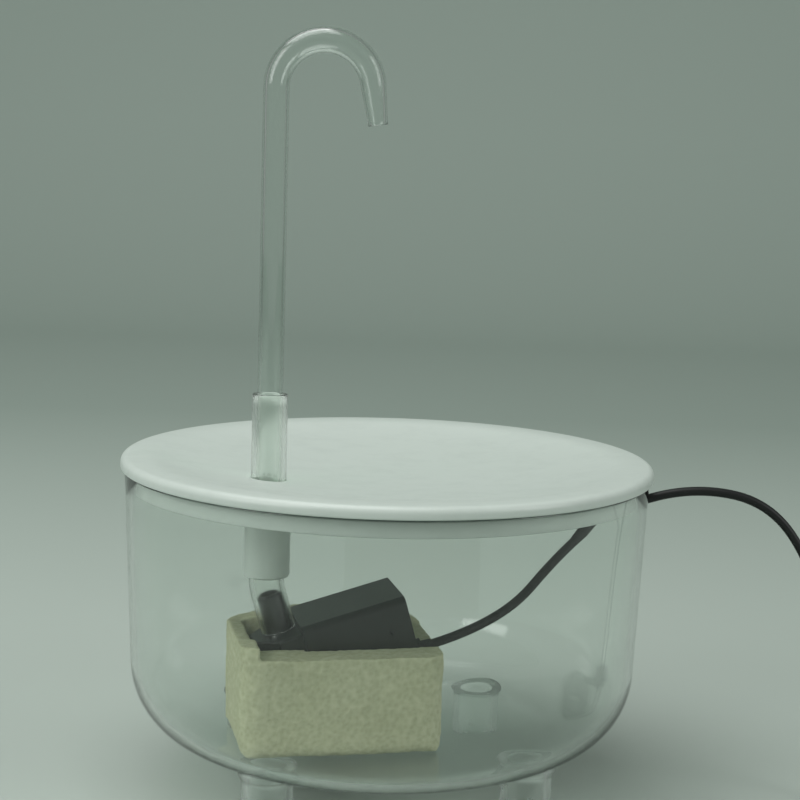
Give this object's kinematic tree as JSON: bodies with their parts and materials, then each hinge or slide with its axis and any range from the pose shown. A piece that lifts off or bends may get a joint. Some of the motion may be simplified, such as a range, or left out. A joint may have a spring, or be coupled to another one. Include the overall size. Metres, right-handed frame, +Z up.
{
  "type": "pet water fountain",
  "caption": "Clear round water bowl on four short feet with a white dished lid, a clear cane-shaped spout in a soft hose, and a small pump in a filter sponge.",
  "frame": {"origin": "on the ground under the middle of the bowl, between the four feet", "axes": "+X to the right of the front view, towards the rim notch; +Y to the back; +Z up"},
  "size_m": [0.3368, 0.203, 0.2872],
  "materials": {
    "clear_plastic": "clear moulded plastic, polished",
    "clear_glass": "clear drawn glass tube",
    "clear_silicone": "clear soft silicone, slightly milky",
    "white_plastic": "white moulded plastic, satin gloss",
    "black_plastic": "black moulded plastic, fine matt",
    "sponge_foam": "open-cell cream filter foam",
    "cord_jacket": "black soft lead jacket, satin",
    "seal_rubber": "black moulded rubber",
    "bush_rubber": "dark grey rubber bush",
    "shaft_ceramic": "ground white ceramic",
    "ferrite": "dark grey bonded ferrite",
    "core_steel": "stamped laminated steel",
    "copper_wire": "enamelled copper winding",
    "board": "green solder mask",
    "plated_steel": "bright nickel-plated steel",
    "contact_brass": "gold-plated brass"
  },
  "bodies": {
    "root": {"bowl": "clear_plastic", "foot_rear_right": "clear_plastic", "foot_rear_left": "clear_plastic", "foot_front_left": "clear_plastic", "foot_front_right": "clear_plastic", "delivery_hose": "clear_silicone", "volute_cover": "black_plastic", "inlet_grille": "black_plastic", "front_bush": "bush_rubber", "rear_bush": "bush_rubber", "impeller_shaft": "shaft_ceramic", "pump_housing": "black_plastic", "pump_end_plate": "black_plastic", "cover_seal": "seal_rubber", "stator_core": "core_steel", "stator_coil_front": "copper_wire", "stator_coil_rear": "copper_wire", "driver_board": "board", "cable_gland": "seal_rubber", "filter_sponge": "sponge_foam", "power_cord": "cord_jacket", "cord_coil": "cord_jacket", "cord_tail": "cord_jacket", "coil_tie": "black_plastic", "plug_body": "cord_jacket", "plug_shell": "plated_steel", "plug_tongue": "black_plastic", "plug_contacts": "contact_brass"},
    "lid": {"lid_tray": "white_plastic"},
    "spout": {"spout_tube": "clear_glass"},
    "rotor": {"impeller": "white_plastic", "impeller_magnet": "ferrite"}
  },
  "joints": [
    {"name": "lid_lift", "type": "slide", "parent": "root", "child": "lid", "axis": [0, 0, 1], "range_m": [0, 0.1]},
    {"name": "spout_swivel", "type": "hinge", "parent": "root", "child": "spout", "pos_m": [-0.044, -0.024, 0.16], "axis": [0, 0, 1], "continuous": true},
    {"name": "impeller_spin", "type": "hinge", "parent": "root", "child": "rotor", "pos_m": [-0.03581, -0.02226, 0.05243], "axis": [0.9403, 0.1999, 0.2756], "continuous": true}
  ]
}
